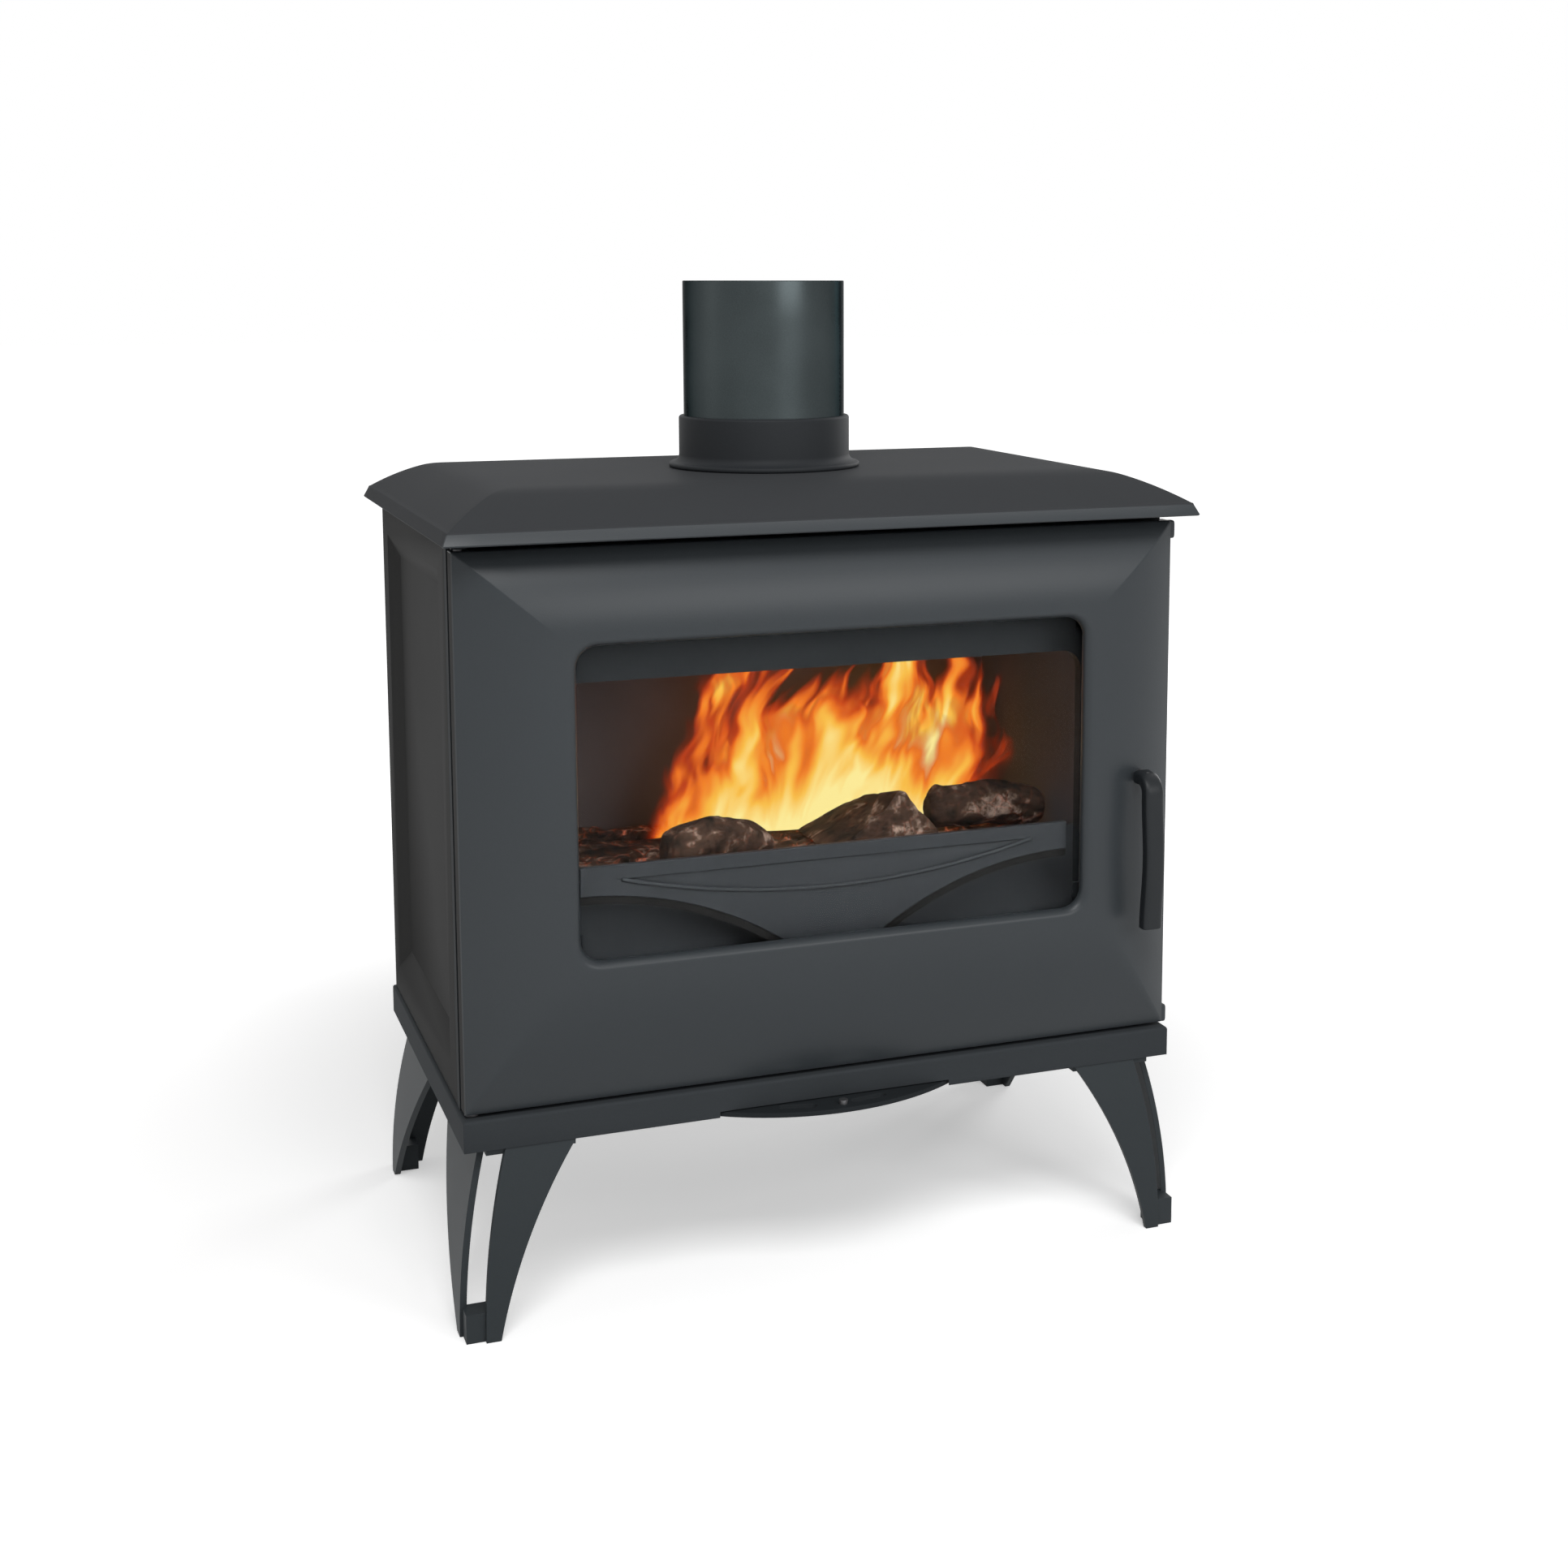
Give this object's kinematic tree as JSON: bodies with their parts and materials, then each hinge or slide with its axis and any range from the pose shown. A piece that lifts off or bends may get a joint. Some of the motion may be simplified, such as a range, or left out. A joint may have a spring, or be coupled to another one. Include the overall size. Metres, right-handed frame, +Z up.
{
  "type": "wood stove",
  "caption": "Cast iron wood stove with a hipped pillow door around a wide window, crowned lid, top flue pipe, sabre legs, an air register under the base and logs on an ember bed.",
  "frame": {"origin": "middle of the bounding box on the floor", "axes": "+Z up, door towards -Y, handle side towards +X"},
  "size_m": [0.696, 0.475, 0.906],
  "materials": {
    "iron_body": "matt stove paint",
    "iron_fire": "matt, heat dulled",
    "handle_iron": "satin stove paint",
    "pipe_paint": "satin",
    "steel": "plain, blackened",
    "pan_sheet": "sheet, sooty",
    "brass_bush": "machined",
    "window_glass": "clear",
    "rope_fibre": "braided fibre",
    "firebrick": "pressed brick",
    "charred_wood": "charred bark",
    "embers": "charcoal and ash"
  },
  "bodies": {
    "stove": {"base_plate": "iron_body", "side_panel_left": "iron_body", "side_panel_right": "iron_body", "back_panel": "iron_body", "front_frame": "iron_body", "top_plate": "iron_body", "flue_collar": "iron_body", "leg_front_left": "iron_body", "leg_front_right": "iron_body", "leg_back_left": "iron_body", "leg_back_right": "iron_body", "hearth_plate": "iron_fire", "grate": "iron_fire", "log_guard": "iron_fire", "ash_fence": "iron_fire", "latch_keeper": "iron_fire", "collar_screws": "steel", "tie_rods": "steel", "leg_bolts": "steel", "register_bolt": "steel", "hinge_pin_top": "steel", "hinge_pin_bottom": "steel", "hinge_washer": "steel", "guard_spacers": "steel", "flue_pipe": "pipe_paint", "liner_left": "firebrick", "liner_right": "firebrick", "liner_back": "firebrick", "baffle_plate": "firebrick", "ash_pan": "pan_sheet", "pan_rails": "pan_sheet", "ember_bed": "embers", "log_left": "charred_wood", "log_right": "charred_wood", "log_split": "charred_wood"},
    "door_leaf": {"door": "iron_body", "door_glass": "window_glass", "glass_gasket": "rope_fibre", "glass_clips": "steel", "clip_screws": "steel", "door_rope": "rope_fibre", "handle_bush": "brass_bush"},
    "handle": {"handle_lever": "handle_iron", "handle_spindle": "steel", "latch_cam": "steel", "cam_nut": "steel"},
    "register": {"register_disc": "iron_body", "register_knob": "steel"}
  },
  "joints": [
    {"name": "door_hinge", "type": "hinge", "parent": "stove", "child": "door_leaf", "pos_m": [-0.328, -0.171, 0.44], "axis": [0, 0, -1], "range_deg": [0, 100]},
    {"name": "handle_turn", "type": "hinge", "parent": "door_leaf", "child": "handle", "pos_m": [0.297, -0.2, 0.448], "axis": [0, -1, 0], "range_deg": [0, 80]},
    {"name": "register_turn", "type": "hinge", "parent": "stove", "child": "register", "pos_m": [0, -0.0085, 0.167], "axis": [0, 0, 1], "range_deg": [-15, 15]}
  ]
}
